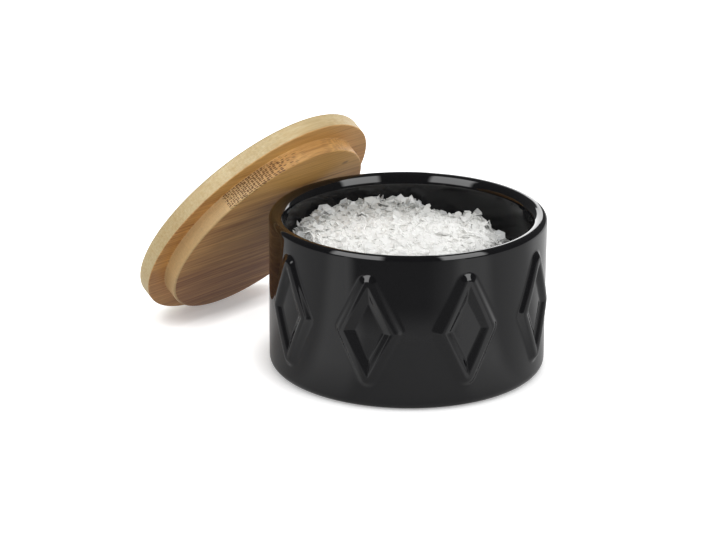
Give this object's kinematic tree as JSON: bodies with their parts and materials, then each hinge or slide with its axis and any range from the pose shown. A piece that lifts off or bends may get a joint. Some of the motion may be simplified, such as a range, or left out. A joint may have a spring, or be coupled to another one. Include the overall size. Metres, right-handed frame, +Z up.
{
  "type": "salt pot",
  "caption": "Squat round stoneware salt pot in glossy black glaze, filled with flaky salt, with a loose bamboo lid that leans open against its rim.",
  "frame": {"origin": "middle of the pot's foot, in the plane of the table", "axes": "+Z up along the pot's axis; the ornamented front of the pot looks along -Y and +X is to its right"},
  "size_m": [0.1491, 0.1394, 0.0839],
  "materials": {
    "black_glaze": "gloss",
    "bamboo": "satin",
    "salt": "matte"
  },
  "bodies": {
    "pot": {"pot": "black_glaze", "salt": "salt"},
    "lid": {"lid": "bamboo"}
  },
  "joints": [
    {"name": "lid_lift", "type": "slide", "parent": "pot", "child": "lid", "axis": [0, 0, 1], "range_m": [0, 0.09]}
  ]
}
